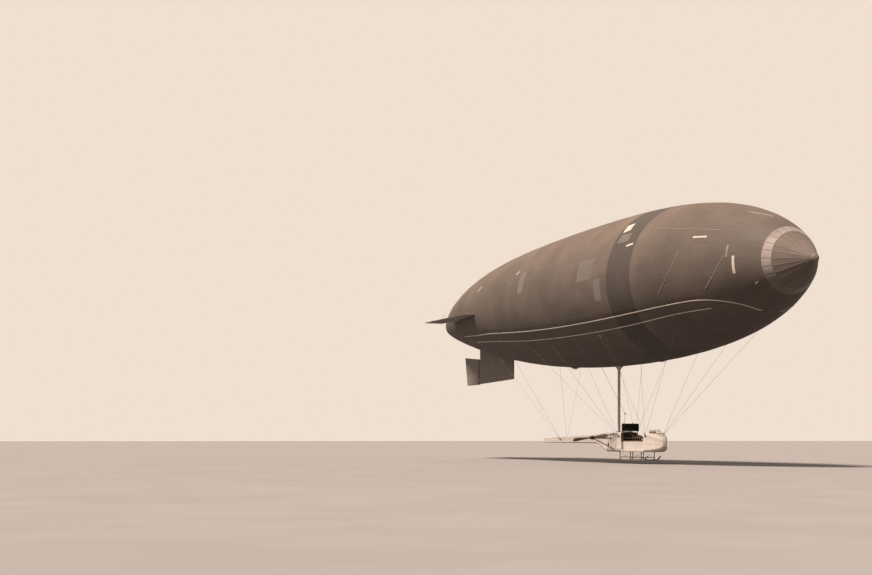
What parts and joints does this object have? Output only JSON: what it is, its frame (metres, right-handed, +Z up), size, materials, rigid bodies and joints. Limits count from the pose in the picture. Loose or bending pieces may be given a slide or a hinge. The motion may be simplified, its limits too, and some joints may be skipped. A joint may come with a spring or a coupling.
{
  "type": "pressure airship, 1:2 scale model",
  "caption": "Half-size model of an early pressure airship: long gas bag with battened nose and tail fins, and a slim fabric-covered car with side propellers slung below on stays.",
  "frame": {"origin": "on the gas bag's axis at its centre of lift, 11 m behind the nose of the model", "axes": "+X towards the nose, +Y to port, +Z up"},
  "size_m": [25.95, 4.9238, 8.1513],
  "materials": {
    "envelope_fabric": "matt rubbered cotton, brown taupe",
    "nose_fabric": "matt rubbered cotton over stiffeners",
    "nose_ring_fabric": "pale doubled fabric",
    "girdle_tape": "pale woven tape",
    "valve": "dark fabric over a ring",
    "duct_fabric": "dark fabric hose",
    "fin_fabric": "doped fabric over a frame",
    "car_fabric": "pale doped fabric, taut over a frame",
    "bare_steel": "dull steel tube",
    "dark_metal": "dark cast and painted metal",
    "stay_wire": "twisted steel cable",
    "varnished_wood": "varnished wood",
    "leather": "dark brown leather",
    "rubber_cord": "braided elastic cord",
    "clear_pane": "clear pane"
  },
  "bodies": {
    "ship": {"envelope": "envelope_fabric", "nose_battens": "nose_fabric", "nose_ring": "nose_ring_fabric", "girdle_upper_port": "girdle_tape", "girdle_upper_starboard": "girdle_tape", "girdle_lower_port": "girdle_tape", "girdle_lower_starboard": "girdle_tape", "valve_fore": "valve", "valve_aft": "valve", "air_duct": "duct_fabric", "duct_collar": "dark_metal", "stabilizer_port": "fin_fabric", "stabilizer_starboard": "fin_fabric", "keel_fin": "fin_fabric", "car_bow": "car_fabric", "car_rear": "car_fabric", "car_boom": "car_fabric", "side_panel_fore_port": "car_fabric", "side_panel_fore_starboard": "car_fabric", "side_panel_aft_port": "car_fabric", "side_panel_aft_starboard": "car_fabric", "car_floor": "varnished_wood", "control_wheel": "varnished_wood", "bench": "varnished_wood", "engine_bearer_port": "varnished_wood", "engine_bearer_starboard": "varnished_wood", "windscreen": "clear_pane", "engine": "dark_metal", "radiator": "dark_metal", "gearbox_port": "dark_metal", "gearbox_starboard": "dark_metal", "firewall": "dark_metal", "exhaust": "bare_steel", "radiator_post_port": "bare_steel", "radiator_post_starboard": "bare_steel", "outrigger_port": "bare_steel", "outrigger_starboard": "bare_steel", "landing_skids": "bare_steel", "stays_fore_port": "stay_wire", "stays_fore_starboard": "stay_wire", "stays_aft_port": "stay_wire", "stays_aft_starboard": "stay_wire", "stays_tail_port": "stay_wire", "stays_tail_starboard": "stay_wire"},
    "propeller_port": {"propeller_port": "varnished_wood"},
    "propeller_starboard": {"propeller_starboard": "varnished_wood"},
    "rudder": {"rudder": "fin_fabric"},
    "elevator_port": {"elevator_port": "fin_fabric"},
    "elevator_starboard": {"elevator_starboard": "fin_fabric"}
  },
  "joints": [
    {"name": "propeller_port_spin", "type": "hinge", "parent": "ship", "child": "propeller_port", "pos_m": [0.225, 1.05, -4.885], "axis": [1, 0, 0], "continuous": true},
    {"name": "propeller_starboard_spin", "type": "hinge", "parent": "ship", "child": "propeller_starboard", "pos_m": [0.225, -1.05, -4.885], "axis": [1, 0, 0], "continuous": true},
    {"name": "rudder_hinge", "type": "hinge", "parent": "ship", "child": "rudder", "pos_m": [-11.5, 0, -2], "axis": [0, 0, 1], "range_deg": [-30, 30]},
    {"name": "elevator_port_hinge", "type": "hinge", "parent": "ship", "child": "elevator_port", "pos_m": [-11.25, 1.9, 0], "axis": [0, 1, 0], "range_deg": [-25, 25]},
    {"name": "elevator_starboard_hinge", "type": "hinge", "parent": "ship", "child": "elevator_starboard", "pos_m": [-11.25, -1.9, 0], "axis": [0, 1, 0], "range_deg": [-25, 25]}
  ],
  "couplings": [
    {"joint": "propeller_starboard_spin", "follows": "propeller_port_spin", "ratio": -1},
    {"joint": "elevator_starboard_hinge", "follows": "elevator_port_hinge", "ratio": 1}
  ]
}
